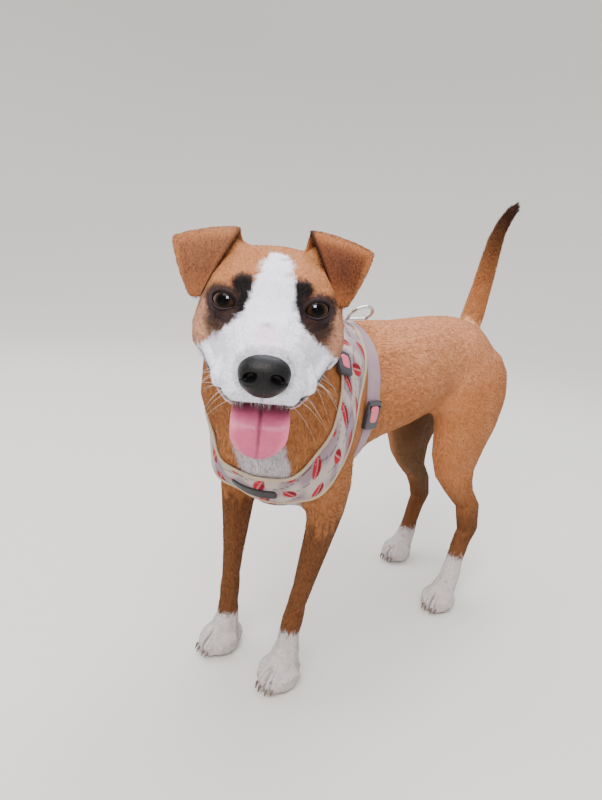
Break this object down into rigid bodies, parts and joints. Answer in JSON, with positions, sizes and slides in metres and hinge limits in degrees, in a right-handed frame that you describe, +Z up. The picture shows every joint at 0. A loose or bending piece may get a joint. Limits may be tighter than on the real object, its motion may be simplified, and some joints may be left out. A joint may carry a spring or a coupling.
{
  "type": "dog figure",
  "caption": "Life-size still figure of a small short-coated tan and white terrier cross, standing with its head turned, mouth open and tail up, wearing a padded walking harness.",
  "frame": {"origin": "bottom centre of the bounding box, on the floor under the paws", "axes": "-Y towards the chest, +Y towards the tail, +X to the dog's left, +Z up"},
  "size_m": [0.2144, 0.5336, 0.4779],
  "materials": {
    "coat": "short flat hair in tan and white",
    "eye": "polished",
    "nose": "fine pebbled, damp",
    "tongue": "moist",
    "claw": "horn",
    "webbing": "woven, padded, with bound edges",
    "buckle": "moulded",
    "label": "plain, moulded",
    "ring": "polished wire"
  },
  "bodies": {
    "root": {"head": "coat", "lower_jaw": "coat", "neck": "coat", "trunk": "coat", "tail": "coat", "left_thigh": "coat", "left_shank": "coat", "left_hock": "coat", "left_hind_paw": "coat", "right_thigh": "coat", "right_shank": "coat", "right_hock": "coat", "right_hind_paw": "coat", "left_forearm": "coat", "left_pastern": "coat", "left_fore_paw": "coat", "right_forearm": "coat", "right_pastern": "coat", "right_fore_paw": "coat", "left_ear": "coat", "right_ear": "coat", "left_eye": "eye", "right_eye": "eye", "nose": "nose", "tongue": "tongue", "left_fore_claw_1": "claw", "left_fore_claw_2": "claw", "left_fore_claw_3": "claw", "left_fore_claw_4": "claw", "left_hind_claw_1": "claw", "left_hind_claw_2": "claw", "left_hind_claw_3": "claw", "left_hind_claw_4": "claw", "right_fore_claw_1": "claw", "right_fore_claw_2": "claw", "right_fore_claw_3": "claw", "right_fore_claw_4": "claw", "right_hind_claw_1": "claw", "right_hind_claw_2": "claw", "right_hind_claw_3": "claw", "right_hind_claw_4": "claw", "harness_neck_band": "webbing", "harness_girth_strap": "webbing", "harness_breast_strap": "webbing", "neck_buckle": "buckle", "girth_buckle": "buckle", "label": "label", "d_ring": "ring"}
  },
  "joints": []
}
